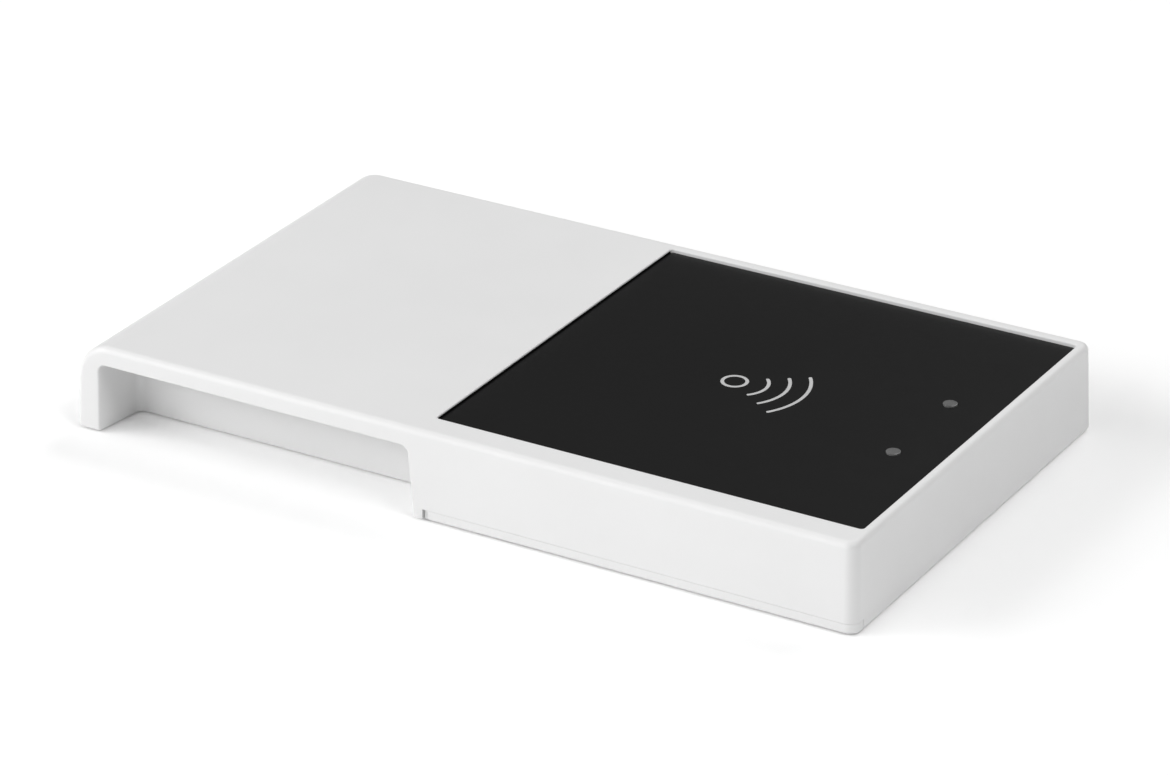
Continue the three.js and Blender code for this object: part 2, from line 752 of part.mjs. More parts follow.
function makeUsbTongue() {
  const half = tongue.width / 2;
  const front = usbFront + usb.setback * 2;
  const rear = usbFront + usb.length - usb.sheet;
  const middle = boardTop + usb.height / 2;
  const [z0, z1] = [middle - tongue.thickness / 2, middle + tongue.thickness / 2];
  return block(usbX - half, usbX + half, front, rear, z0, z1);
}

addPiece('cable_socket_tongue', makeUsbTongue(), headerPlastic);

export default group;
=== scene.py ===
import json
import math

import bmesh
import bpy
from mathutils import Matrix, Vector


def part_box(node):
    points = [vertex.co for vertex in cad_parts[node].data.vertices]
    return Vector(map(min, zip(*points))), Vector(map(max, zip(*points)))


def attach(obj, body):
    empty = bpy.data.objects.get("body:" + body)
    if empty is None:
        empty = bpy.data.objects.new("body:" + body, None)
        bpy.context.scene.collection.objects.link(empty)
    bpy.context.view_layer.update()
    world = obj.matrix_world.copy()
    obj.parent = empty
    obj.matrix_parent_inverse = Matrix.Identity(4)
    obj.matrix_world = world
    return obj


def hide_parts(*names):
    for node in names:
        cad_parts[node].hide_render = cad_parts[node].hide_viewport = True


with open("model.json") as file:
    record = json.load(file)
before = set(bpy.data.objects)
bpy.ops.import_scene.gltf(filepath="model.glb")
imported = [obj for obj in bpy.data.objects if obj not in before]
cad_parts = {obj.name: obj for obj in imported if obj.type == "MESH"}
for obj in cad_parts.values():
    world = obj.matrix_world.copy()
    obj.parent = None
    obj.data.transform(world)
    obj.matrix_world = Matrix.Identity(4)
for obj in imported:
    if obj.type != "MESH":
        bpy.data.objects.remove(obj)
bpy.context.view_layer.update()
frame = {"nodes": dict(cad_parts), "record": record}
print("stage: frame loaded")

# Everything is shaped in millimetres and made metres at the end.
metre = 0.001


def boxOf(node):
    low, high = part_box(node)
    return low / metre, high / metre


coverLow, coverHigh = boxOf("top_cover")
plateLow, plateHigh = boxOf("base_plate")
panelLow, panelHigh = boxOf("reading_panel")
socketLow, socketHigh = boxOf("cable_socket_shell")
bottom = coverLow.z
top = coverHigh.z


# Shaping helpers

def block(low, high):
    shape = bmesh.new()
    bmesh.ops.create_cube(shape, size=1)
    low, high = Vector(low), Vector(high)
    bmesh.ops.scale(shape, vec=high - low, verts=shape.verts)
    bmesh.ops.translate(shape, vec=(low + high) / 2, verts=shape.verts)
    return shape


def rod(x, y, low, high, radius, sides=48):
    shape = bmesh.new()
    bmesh.ops.create_cone(
        shape, cap_ends=True, segments=sides, radius1=radius, radius2=radius, depth=high - low)
    bmesh.ops.translate(shape, vec=(x, y, (low + high) / 2), verts=shape.verts)
    return shape


def prism(corners, low, high):
    shape = bmesh.new()
    floor = shape.faces.new([shape.verts.new((x, y, low)) for x, y in corners])
    raised = bmesh.ops.extrude_face_region(shape, geom=[floor], use_keep_orig=True)
    risen = [v for v in raised["geom"] if isinstance(v, bmesh.types.BMVert)]
    bmesh.ops.translate(shape, vec=(0, 0, high - low), verts=risen)
    bmesh.ops.recalc_face_normals(shape, faces=shape.faces)
    return shape


def turned(x, y, outline, sides=64):
    # outline runs from the axis at the bottom, round the outside, to the axis at the top
    shape = bmesh.new()
    line = [shape.verts.new((radius, 0, height)) for radius, height in outline]
    for first, second in zip(line, line[1:]):
        shape.edges.new((first, second))
    bmesh.ops.spin(
        shape, geom=shape.verts[:] + shape.edges[:], cent=(0, 0, 0), axis=(0, 0, 1),
        angle=math.tau, steps=sides, use_merge=True)
    bmesh.ops.remove_doubles(shape, verts=shape.verts, dist=0.0005)
    bmesh.ops.recalc_face_normals(shape, faces=shape.faces)
    bmesh.ops.translate(shape, vec=(x, y, 0), verts=shape.verts)
    return shape


def rounded(shape, edges, radius, segments=4):
    bmesh.ops.bevel(
        shape, geom=edges, offset=radius, offset_type="OFFSET", segments=segments,
        profile=0.5, affect="EDGES", material=-1, clamp_overlap=True)
    return shape


def edgesWith(shape, test):
    # the edges whose two ends both pass the test
    return [e for e in shape.edges if all(test(v.co) for v in e.verts)]


def uprightEdges(shape):
    return [e for e in shape.edges if not near(e.verts[0].co.z, e.verts[1].co.z)]


def sharpEdges(shape, test, degrees=30):
    shape.normal_update()
    limit = math.radians(degrees)
    return [e for e in edgesWith(shape, test)
            if len(e.link_faces) == 2 and e.calc_face_angle(0) > limit]


def near(a, b, reach=0.02):
    return abs(a - b) < reach


def joined(*shapes):
    whole = bmesh.new()
    for shape in shapes:
        part = bpy.data.meshes.new("part")
        shape.to_mesh(part)
        whole.from_mesh(part)
        bpy.data.meshes.remove(part)
        shape.free()
    return whole


def combined(shape, tool, operation="DIFFERENCE"):
    objects = []
    for source in (shape, tool):
        mesh = bpy.data.meshes.new("work")
        source.to_mesh(mesh)
        source.free()
        objects.append(bpy.data.objects.new("work", mesh))
        bpy.context.scene.collection.objects.link(objects[-1])
    cut = objects[0].modifiers.new("cut", "BOOLEAN")
    cut.operation = operation
    cut.solver = "EXACT"
    cut.object = objects[1]
    bpy.context.view_layer.update()
    result = bmesh.new()
    result.from_mesh(objects[0].evaluated_get(bpy.context.evaluated_depsgraph_get()).data)
    for thing in objects:
        mesh = thing.data
        bpy.data.objects.remove(thing)
        bpy.data.meshes.remove(mesh)
    bmesh.ops.remove_doubles(result, verts=result.verts, dist=0.002)
    bmesh.ops.dissolve_degenerate(result, edges=result.edges, dist=0.001)
    return result


def finishPiece(name, shape, material, stands=(), angle=28, weighted=True):
    bmesh.ops.scale(shape, vec=(metre, metre, metre), verts=shape.verts)
    mesh = bpy.data.meshes.new(name)
    shape.to_mesh(mesh)
    shape.free()
    mesh.polygons.foreach_set("use_smooth", [True] * len(mesh.polygons))
    mesh.set_sharp_from_angle(angle=math.radians(angle))
    mesh.materials.append(material)
    piece = bpy.data.objects.new(name, mesh)
    bpy.context.scene.collection.objects.link(piece)
    if weighted:
        shading = piece.modifiers.new("weighted", "WEIGHTED_NORMAL")
        shading.keep_sharp = True
        shading.weight = 80
    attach(piece, "root")
    if stands:
        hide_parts(*stands)
    return piece


# Materials

class Finish:
    # a material and the few node moves that the finishes share
    def __init__(self, name):
        self.material = bpy.data.materials.new(name)
        self.material.use_nodes = True
        self.nodes = self.material.node_tree.nodes
        self.links = self.material.node_tree.links
        self.shader = self.nodes["Principled BSDF"]
        self.place = self.nodes.new("ShaderNodeTexCoord").outputs["Object"]

    def value(self, **sockets):
        for name, amount in sockets.items():
            self.shader.inputs[name.replace("_", " ")].default_value = amount
        return self

    def noise(self, scale, detail=2, roughness=0.5, stretch=None):
        texture = self.nodes.new("ShaderNodeTexNoise")
        texture.inputs["Scale"].default_value = scale
        texture.inputs["Detail"].default_value = detail
        texture.inputs["Roughness"].default_value = roughness
        if stretch:
            mapping = self.nodes.new("ShaderNodeMapping")
            mapping.inputs["Scale"].default_value = stretch
            self.links.new(self.place, mapping.inputs["Vector"])
            self.links.new(mapping.outputs["Vector"], texture.inputs["Vector"])
        else:
            self.links.new(self.place, texture.inputs["Vector"])
        return texture.outputs["Fac"]

    def span(self, fac, low, high, start=0.3, end=0.7):
        reach = self.nodes.new("ShaderNodeMapRange")
        reach.inputs["From Min"].default_value = start
        reach.inputs["From Max"].default_value = end
        reach.inputs["To Min"].default_value = low
        reach.inputs["To Max"].default_value = high
        self.links.new(fac, reach.inputs["Value"])
        return reach.outputs["Result"]

    def mix(self, fac, first, second):
        blend = self.nodes.new("ShaderNodeMix")
        blend.data_type = "RGBA"
        blend.inputs["A"].default_value = (*first, 1)
        blend.inputs["B"].default_value = (*second, 1)
        self.links.new(fac, blend.inputs["Factor"])
        return blend.outputs["Result"]

    def colour(self, output):
        self.links.new(output, self.shader.inputs["Base Color"])
        return self

    def rough(self, output):
        self.links.new(output, self.shader.inputs["Roughness"])
        return self

    def bump(self, output, strength, distance):
        bump = self.nodes.new("ShaderNodeBump")
        bump.inputs["Strength"].default_value = strength
        bump.inputs["Distance"].default_value = distance
        if self.shader.inputs["Normal"].links:
            self.links.new(self.shader.inputs["Normal"].links[0].from_socket, bump.inputs["Normal"])
        self.links.new(output, bump.inputs["Height"])
        self.links.new(bump.outputs["Normal"], self.shader.inputs["Normal"])
        return self


def grey(level):
    return (level, level, level)


def whiteHousingFinish():
    look = Finish("whiteHousing").value(IOR=1.46, Specular_IOR_Level=0.4)
    tone = look.mix(look.span(look.noise(35), 0, 1), grey(0.735), grey(0.755))
    look.colour(tone)
    look.rough(look.span(look.noise(260, detail=3), 0.37, 0.45))
    look.bump(look.noise(5200, detail=1), 0.12, 0.00003)
    look.bump(look.noise(420), 0.05, 0.00004)
    return look.material


def blackPanelFinish():
    look = Finish("blackPanel").value(IOR=1.45, Specular_IOR_Level=0.24)
    tone = look.mix(look.span(look.noise(22), 0, 1), grey(0.0032), grey(0.0042))
    look.colour(tone)
    look.rough(look.span(look.noise(300, detail=3), 0.33, 0.39))
    look.bump(look.noise(6500, detail=1), 0.15, 0.00002)
    return look.material


def inkFinish():
    look = Finish("greyInk").value(Specular_IOR_Level=0.3)
    look.colour(look.mix(look.span(look.noise(900), 0, 1), grey(0.47), grey(0.52)))
    look.rough(look.span(look.noise(700), 0.5, 0.6))
    return look.material


def smokedLensFinish():
    look = Finish("smokedLens").value(IOR=1.5, Specular_IOR_Level=0.5)
    look.colour(look.mix(look.span(look.noise(700), 0, 1), grey(0.10), grey(0.125)))
    look.rough(look.span(look.noise(900), 0.2, 0.27))
    return look.material


def rubberFinish():
    look = Finish("footRubber").value(IOR=1.5, Specular_IOR_Level=0.3)
    look.colour(look.mix(look.span(look.noise(500, detail=4), 0, 1), grey(0.028), grey(0.042)))
    look.rough(look.span(look.noise(800, detail=3), 0.72, 0.88))
    look.bump(look.noise(3500, detail=2), 0.35, 0.00004)
    return look.material


def labelFinish():
    look = Finish("labelFilm").value(IOR=1.5)
    look.colour(look.mix(look.span(look.noise(60, detail=3), 0, 1), grey(0.5), grey(0.54)))
    look.rough(look.span(look.noise(400, detail=3), 0.3, 0.4))
    look.bump(look.noise(140), 0.05, 0.00003)
    return look.material


def metalFinish(name, tone, shade, low, high, stretch=None):
    look = Finish(name).value(Metallic=1.0)
    look.colour(look.mix(look.span(look.noise(450, detail=4, stretch=stretch), 0, 1), tone, shade))
    look.rough(look.span(look.noise(900, detail=3, stretch=stretch), low, high))
    look.bump(look.noise(1600, detail=2, stretch=stretch), 0.08, 0.00002)
    return look.material


def boardFinish():
    look = Finish("boardMask").value(IOR=1.52)
    weave = look.span(look.noise(380, detail=3), 0, 1, 0.42, 0.58)
    look.colour(look.mix(weave, (0.012, 0.105, 0.045), (0.02, 0.145, 0.065)))
    look.rough(look.span(look.noise(900, detail=2), 0.28, 0.4))
    look.bump(weave, 0.12, 0.00002)
    return look.material


def resinFinish(name, tone, shade, low, high, grain=2600):
    look = Finish(name)
    look.colour(look.mix(look.span(look.noise(600, detail=4), 0, 1), tone, shade))
    look.rough(look.span(look.noise(1100, detail=3), low, high))
    look.bump(look.noise(grain, detail=2), 0.2, 0.00002)
    return look.material


def foamFinish():
    look = Finish("gasketFoam").value(Specular_IOR_Level=0.05)
    look.colour(look.mix(look.span(look.noise(1400, detail=3), 0, 1), grey(0.003), grey(0.006)))
    look.rough(look.span(look.noise(900), 0.85, 0.95))
    look.bump(look.noise(3000, detail=2), 0.4, 0.00004)
    return look.material


finishes = {
    "white_plastic": whiteHousingFinish(),
    "panel_plastic": blackPanelFinish(),
    "gasket_foam": foamFinish(),
    "smoked_lens": smokedLensFinish(),
    "led_body": resinFinish("lampBody", grey(0.75), (0.8, 0.78, 0.66), 0.35, 0.5),
    "foot_rubber": rubberFinish(),
    "label_film": labelFinish(),
    "screw_steel": metalFinish("zincScrew", (0.56, 0.57, 0.59), (0.66, 0.67, 0.68), 0.24, 0.36),
    "board_laminate": boardFinish(),
    "loop_copper": metalFinish("loopCopper", (0.72, 0.38, 0.2), (0.8, 0.46, 0.27), 0.28, 0.4),
    "ferrite": resinFinish("ferriteGrey", grey(0.045), grey(0.06), 0.6, 0.75),
    "plated_sheet": metalFinish(
        "tinPlate", (0.68, 0.69, 0.7), (0.76, 0.77, 0.77), 0.2, 0.34, (1, 6, 1)),
    "capacitor_can": metalFinish("capacitorCan", (0.74, 0.75, 0.76), (0.82, 0.82, 0.83), 0.25, 0.35),
    "chip_resin": resinFinish("chipResin", grey(0.012), grey(0.02), 0.5, 0.62),
    "connector_plastic": resinFinish("connectorBlack", grey(0.016), grey(0.024), 0.4, 0.55),
    "sam_plastic": resinFinish("cardWhite", grey(0.7), grey(0.76), 0.4, 0.5),
}
ink = inkFinish()
print("stage: finishes made")

slotOf = {entry["node"]: entry["material_slot"] for entry in frame["record"]["subparts"]}
for node, thing in frame["nodes"].items():
    thing.data.materials.clear()
    thing.data.materials.append(finishes[slotOf[node]])


# The housing's outer form, shared by the cover and the base plate's front lip

housing = {
    "height": 15.3,
    "draft": 0.036,        # sideways lean of the walls for each millimetre of height
    "topRadius": 1.13,
    "leftRadius": 6.0,     # the long top edge at the left is much rounder
    "cornerRadius": 2.0,
    "bottomRadius": 0.55,
    "seamX": -58.0,        # where the left and right halves of the form meet
    "wall": 2.2,
    "roof": 2.2,
}


def leaningBlock(inset, low, high):
    shape = block(
        (coverLow.x + inset, coverLow.y + inset, low), (coverHigh.x - inset, coverHigh.y - inset, high))
    for vert in shape.verts:
        shift = (vert.co.z - bottom) * housing["draft"]
        vert.co.x -= math.copysign(shift, vert.co.x)
        vert.co.y -= math.copysign(shift, vert.co.y)
    return shape


def faceOn(edge, direction, least=0.9):
    return any(face.normal.dot(Vector(direction)) > least for face in edge.link_faces)


def outerForm():
    right = leaningBlock(0, bottom, top)
    upright = [e for e in uprightEdges(right) if e.verts[0].co.x > 0]
    rounded(right, upright, housing["cornerRadius"], 14)
    rim = [e for e in edgesWith(right, lambda co: near(co.z, top))
           if max(v.co.x for v in e.verts) > housing["seamX"]]
    rounded(right, rim, housing["topRadius"], 10)
    right.normal_update()
    foot = [e for e in edgesWith(right, lambda co: near(co.z, bottom))
            if max(v.co.x for v in e.verts) > housing["seamX"]]
    rounded(right, foot, housing["bottomRadius"], 5)

    left = leaningBlock(0, bottom, top)
    longEdge = edgesWith(left, lambda co: near(co.z, top) and co.x < 0)
    rounded(left, longEdge, housing["leftRadius"], 28)
    left.normal_update()
    ends = [e for e in left.edges
            if (faceOn(e, (0, -1, 0)) or faceOn(e, (0, 1, 0)))
            and not all(near(v.co.z, bottom) for v in e.verts)]
    rounded(left, ends, housing["topRadius"], 10)
    under = edgesWith(left, lambda co: near(co.z, bottom))
    rounded(left, under, housing["bottomRadius"], 5)

    for shape, direction in ((right, 1), (left, -1)):
        bmesh.ops.bisect_plane(
            shape, geom=shape.verts[:] + shape.edges[:] + shape.faces[:], dist=0.0001,
            plane_co=(housing["seamX"], 0, 0), plane_no=(direction, 0, 0), clear_inner=True)
    whole = joined(right, left)
    bmesh.ops.remove_doubles(whole, verts=whole.verts, dist=0.003)
    bmesh.ops.recalc_face_normals(whole, faces=whole.faces)
    return whole


# Cable bay

bay = {
    "left": -67.6,
    "right": -8.0,
    "back": -32.2,
    "roof": 3.3,
    "cornerRadius": 1.3,
    "leftTaper": 1.4,
    "rightLean": 1.3,
    "sideWall": 1.4,
    "backWall": 1.8,
    "edgeRadius": 0.28,
}
bayTop = top - bay["roof"]
bayWallRight = bay["right"] + bay["rightLean"] + bay["sideWall"]
bayWallBack = bay["back"] + bay["backWall"]


def bayForm():
    shape = block((bay["left"], coverLow.y - 1, bottom - 1), (bay["right"], bay["back"], bayTop))
    for vert in shape.verts:
        if vert.co.x < bay["left"] + 1 and vert.co.y > bay["back"] - 1:
            vert.co.x += bay["leftTaper"]
        if vert.co.x > bay["right"] - 1 and vert.co.z < bottom:
            vert.co.x += bay["rightLean"]
    shape.normal_update()
    inner = [e for e in shape.edges
             if not faceOn(e, (0, -1, 0)) and not faceOn(e, (0, 0, -1)) and not
             (all(v.co.x > bay["right"] - 1 for v in e.verts) and faceOn(e, (0, 1, 0)))]
    return rounded(shape, inner, bay["cornerRadius"], 8)


# Base plate outline

plate = {
    "seam": 0.16,          # gap round the plate
    "lipSeam": 0.05,       # gap over the front lip
    "ribWidth": 1.2,
    "ribHeight": 1.5,
    "thickness": 1.8,
    "fit": 0.3,
    "pastCorner": 0.2,     # how far the lip runs on past the rounded corner
}
plateSide = coverHigh.x - housing["wall"] - plate["fit"]
plateRear = coverHigh.y - housing["wall"] - plate["fit"]
plateTop = bottom + plate["thickness"]
lipEnd = coverLow.y + housing["cornerRadius"] + housing["height"] * housing["draft"] + plate["pastCorner"]


def plateOutline(grow):
    lipLeft = bayWallRight + plate["fit"] - grow
    behind = bayWallBack + plate["fit"] - grow
    front = coverLow.y - 2
    beyond = coverHigh.x + 2
    side = plateSide + grow
    return [(-side, behind), (lipLeft, behind), (lipLeft, front), (beyond, front),
            (beyond, lipEnd + grow), (side, lipEnd + grow), (side, plateRear + grow),
            (-side, plateRear + grow)]


# Top cover

fourCorners = ("rear_left", "rear_right", "front_left", "front_right")


def middles(prefix, places):
    return {place: sum(boxOf(prefix + place), Vector()) / 2 for place in places}


screwPlaces = middles("case_screw_", fourCorners)
postPlaces = middles("board_screw_", fourCorners)
lampPlaces = middles("lamp_lens_", ("rear", "front"))

cover = {
    "windowGap": 0.2,
    "windowRadius": 0.6,
    "windowEdge": 0.25,
    "pocketFloor": 1.3,
    "gasket": 0.15,        # the foam's thickness under the panel
    "bossRadius": 3.2,
    "bossHole": 1.35,
    "bossStart": plateTop + 1.2,
    "bossHoleDepth": 7.2,
    "postRadius": 2.5,
    "postHole": 1.05,
    "postHoleDepth": 5.0,
    "lampHole": 1.4,
    "rootOverlap": 0.3,    # how far posts run into the roof
    "socketGap": 0.2,
}
windowLow = panelLow - Vector((cover["windowGap"], cover["windowGap"], cover["gasket"]))
windowHigh = panelHigh + Vector((cover["windowGap"], cover["windowGap"], 0))
pocketCeiling = windowLow.z - cover["pocketFloor"]
boardTop = boxOf("main_board")[1].z


def windowForm():
    shape = block(windowLow, (windowHigh.x, windowHigh.y, top + 1))
    return rounded(shape, uprightEdges(shape), cover["windowRadius"], 6)


def makeCover():
    shape = outerForm()
    shape = combined(shape, bayForm())
    ceiling = top - housing["roof"]
    cavity = leaningBlock(housing["wall"], bottom - 1, ceiling)
    room = Vector((200, 200, 200))
    cavity = combined(cavity, block((windowLow.x - 2, -200, pocketCeiling), room))
    cavity = combined(cavity, block((-200, -200, -200), (bayWallRight, bayWallBack, 200)))
    shape = combined(shape, cavity)
    root = ceiling + cover["rootOverlap"]
    posts = [rod(at.x, at.y, cover["bossStart"], root, cover["bossRadius"])
             for at in screwPlaces.values()]
    posts += [rod(at.x, at.y, boardTop, root, cover["postRadius"]) for at in postPlaces.values()]
    shape = combined(shape, joined(*posts), "UNION")
    shape = combined(shape, windowForm())
    holes = [rod(at.x, at.y, cover["bossStart"] - 1, cover["bossStart"] + cover["bossHoleDepth"],
                 cover["bossHole"], 32) for at in screwPlaces.values()]
    holes += [rod(at.x, at.y, boardTop - 1, boardTop + cover["postHoleDepth"], cover["postHole"], 32)
              for at in postPlaces.values()]
    holes += [rod(at.x, at.y, pocketCeiling - 1, top, cover["lampHole"]) for at in lampPlaces.values()]
    gap = cover["socketGap"]
    holes.append(block(
        (socketLow.x - gap, bay["back"] - 1, socketLow.z - gap),
        (socketHigh.x + gap, bayWallBack + 1, socketHigh.z + gap)))
    shape = combined(shape, joined(*holes))
    shape = combined(shape, prism(plateOutline(plate["seam"]), bottom - 1, plateTop + plate["lipSeam"]))

    windowRim = sharpEdges(
        shape, lambda co: near(co.z, top)
        and windowLow.x - 0.1 < co.x < windowHigh.x + 0.1
        and windowLow.y - 0.1 < co.y < windowHigh.y + 0.1)
    rounded(shape, windowRim, cover["windowEdge"], 4)
    bayEdges = sharpEdges(
        shape, lambda co: bay["left"] - 0.4 < co.x < bay["right"] + 1.6 and co.y < bay["back"] + 0.1
        and co.z < bayTop + 0.05 and (co.y < coverLow.y + 0.7 or near(co.z, bottom)))
    rounded(shape, bayEdges, bay["edgeRadius"], 4)
    return shape


finishPiece("coverShell", makeCover(), finishes["white_plastic"], ["top_cover"])
print("stage: cover made")

# Base plate

underside = {
    "footPocket": 0.75,
    "footRadius": 5.2,
    "headRadius": 2.7,
    "headDepth": 1.5,
    "labelGap": 0.2,
    "labelRadius": 1.2,
    "lipReach": 1.2,       # how far back from the front face the lip leans
    "shankRadius": 1.5,
    "cupRadius": 3.7,
    "cupHeight": 1.2,
    "edge": 0.14,
    "lipLean": 0.1,        # inward lean of the front lip for each millimetre towards the table
    "notchWidth": 1.0,
    "notchDepth": 0.6,
}
footPlaces = middles("foot_", fourCorners)
labelLow, labelHigh = boxOf("type_label")


def makeBasePlate():
    shape = combined(outerForm(), prism(plateOutline(0), bottom - 0.01, plateTop), "INTERSECT")
    for vert in shape.verts:
        if vert.co.y < coverLow.y + underside["lipReach"]:
            vert.co.y += (plateTop - vert.co.z) * underside["lipLean"]
    ribTop = plateTop + plate["ribHeight"]
    ribFront = bayWallBack + plate["fit"]
    rib = block((-plateSide, ribFront, bottom + 0.3), (plateSide, plateRear, ribTop))
    inside = plateSide - plate["ribWidth"]
    rib = combined(rib, block((-inside, ribFront - 1, plateTop - 0.5),
                              (inside, plateRear - plate["ribWidth"], 60)))
    shape = combined(shape, rib, "UNION")
    cups = [rod(at.x, at.y, bottom + 0.3, plateTop + underside["cupHeight"], underside["cupRadius"])
            for at in screwPlaces.values()]
    shape = combined(shape, joined(*cups), "UNION")
    wells = [rod(at.x, at.y, bottom - 1, bottom + underside["headDepth"], underside["headRadius"])
             for at in screwPlaces.values()]
    wells += [rod(at.x, at.y, bottom - 1, bottom + underside["footPocket"], underside["footRadius"], 64)
              for at in footPlaces.values()]
    gap = underside["labelGap"]
    pocket = block((labelLow.x - gap, labelLow.y - gap, bottom - 1),
                   (labelHigh.x + gap, labelHigh.y + gap, labelHigh.z))
    wells.append(rounded(pocket, uprightEdges(pocket), underside["labelRadius"], 6))
    shape = combined(shape, joined(*wells))
    shanks = [rod(at.x, at.y, bottom, 30, underside["shankRadius"], 32) for at in screwPlaces.values()]
    shape = combined(shape, joined(*shanks))
    low = sharpEdges(shape, lambda co: near(co.z, bottom))
    rounded(shape, low, underside["edge"], 3)
    lip = sharpEdges(shape, lambda co: near(co.z, plateTop) and co.y < lipEnd)
    rounded(shape, lip, underside["edge"], 3)
    lipLeft = bayWallRight + plate["fit"]
    return combined(shape, block(
        (lipLeft - 1, coverLow.y - 1, bottom - 1),
        (lipLeft + underside["notchWidth"], coverLow.y + underside["notchDepth"], plateTop + 1)))


finishPiece("basePlate", makeBasePlate(), finishes["white_plastic"], ["base_plate"])
print("stage: base plate made")

# Reading panel
panel = {"cornerRadius": 0.6, "edgeRadius": 0.12, "lampHole": 1.24, "holeEdge": 0.08}


def makePanel():
    shape = block(panelLow, panelHigh)
    rounded(shape, uprightEdges(shape), panel["cornerRadius"], 6)
    rounded(shape, edgesWith(shape, lambda co: near(co.z, panelHigh.z)), panel["edgeRadius"], 4)
    holes = [rod(at.x, at.y, panelLow.z - 1, panelHigh.z + 1, panel["lampHole"])
             for at in lampPlaces.values()]
    shape = combined(shape, joined(*holes))
    rims = sharpEdges(shape, lambda co: near(co.z, panelHigh.z))
    return rounded(shape, rims, panel["holeEdge"], 3)


finishPiece("readingPanel", makePanel(), finishes["panel_plastic"], ["reading_panel"])

# Foam frame under the panel's edge; its left side is raised into the gap as a black strip of painted shade,
# standing in for the shadow along the window's left wall
gasket = {
    "width": 6.0,
    "topRadius": 0.06,
    "endGap": 0.6,
    "below": 0.02,         # the painted-shade strip on the left side stands up to just below the window's rounded edge
    "lampHole": 2.2,
}


def makeGasketWithPaintedShade():
    gasketTop = boxOf("panel_gasket")[1].z
    shape = block(windowLow, (windowHigh.x, windowHigh.y, gasketTop))
    rounded(shape, uprightEdges(shape), cover["windowRadius"], 6)
    seat = block(panelLow, panelHigh)
    rounded(seat, uprightEdges(seat), panel["cornerRadius"], 6)
    shape = combined(shape, seat)
    # painted shade: black foam raised along the window's left wall in place of the shadow that falls in
    # that gap
    paintedGapShade = block((windowLow.x, windowLow.y + gasket["endGap"], panelLow.z),
                 (panelLow.x, windowHigh.y - gasket["endGap"], top - cover["windowEdge"] - gasket["below"]))
    shape = combined(shape, paintedGapShade, "UNION")
    inset = Vector((gasket["width"], gasket["width"], 0))
    middle = block(windowLow + inset - Vector((0, 0, 1)), windowHigh - inset)
    lampHoles = [rod(at.x, at.y, windowLow.z - 1, panelHigh.z, gasket["lampHole"])
                 for at in lampPlaces.values()]
    shape = combined(combined(shape, middle), joined(*lampHoles))
    return rounded(shape, sharpEdges(shape, lambda co: near(co.z, gasketTop)), gasket["topRadius"], 2)


finishPiece("panelGasketWithPaintedShade", makeGasketWithPaintedShade(), finishes["gasket_foam"], ["panel_gasket"])

# Printed ring and waves
symbol = {
    "ringX": 27.84,
    "middleY": 0.05,
    "ringRadius": 2.01,
    "stroke": 0.58,
    "thickness": 0.02,
    "sunk": 0.002,
    # radius, centre and half angle of each wave
    "waves": ((4.59, 28.86, 45), (8.43, 28.35, 38), (12.18, 27.93, 36)),
}


def flatRing(outer, inner, sides):
    shape = bmesh.new()
    bmesh.ops.create_circle(shape, segments=sides, radius=outer)
    bmesh.ops.create_circle(shape, segments=sides, radius=inner)
    bmesh.ops.bridge_loops(shape, edges=shape.edges[:])
    return shape


def wave(radius, centre, halfAngle):
    # a short line across the stroke is spun along the arc, then half of it at each end into a round cap
    half = symbol["stroke"] / 2
    shape = bmesh.new()
    start = math.radians(halfAngle)
    line = [shape.verts.new((radius + reach, 0, 0)) for reach in (-half, 0, half)]
    line += [shape.edges.new(line[:2]), shape.edges.new(line[1:3])]
    bmesh.ops.rotate(shape, cent=(0, 0, 0), matrix=Matrix.Rotation(-start, 3, "Z"), verts=line[:3])
    bmesh.ops.spin(shape, geom=line, cent=(0, 0, 0), axis=(0, 0, 1), angle=2 * start, steps=36,
                   use_merge=False)
    for side in (-1, 1):
        outward = Vector((math.cos(start), side * math.sin(start), 0))
        middle = outward * radius
        cap = [shape.verts.new(middle), shape.verts.new(middle + outward * half)]
        bmesh.ops.spin(shape, geom=[*cap, shape.edges.new(cap)], cent=middle, axis=(0, 0, 1),
                       angle=side * math.pi, steps=10, use_merge=False)
    bmesh.ops.remove_doubles(shape, verts=shape.verts, dist=0.003)
    bmesh.ops.translate(shape, vec=(centre, 0, 0), verts=shape.verts)
    return shape


def makeSymbol():
    ring = flatRing(symbol["ringRadius"] + symbol["stroke"] / 2,
                    symbol["ringRadius"] - symbol["stroke"] / 2, 64)
    bmesh.ops.translate(ring, vec=(symbol["ringX"], 0, 0), verts=ring.verts)
    shape = joined(ring, *[wave(*each) for each in symbol["waves"]])
    bmesh.ops.recalc_face_normals(shape, faces=shape.faces)
    lifted = bmesh.ops.extrude_face_region(shape, geom=shape.faces[:], use_keep_orig=True)
    risen = [v for v in lifted["geom"] if isinstance(v, bmesh.types.BMVert)]
    bmesh.ops.translate(shape, vec=(0, 0, symbol["thickness"]), verts=risen)
    bmesh.ops.recalc_face_normals(shape, faces=shape.faces)
    bmesh.ops.translate(shape, vec=(0, symbol["middleY"], panelHigh.z - symbol["sunk"]), verts=shape.verts)
    return shape


finishPiece("printedSymbol", makeSymbol(), ink, weighted=False)
print("stage: panel and symbol made")

# Status lamps: a light pipe with a flange, and a low crowned top
lamp = {"radius": 1.2, "flangeRadius": 1.9, "flange": 1.0, "proud": 0.24, "edgeRadius": 0.07,
        "crown": 0.09, "crownSteps": 8, "footEdge": 0.1}


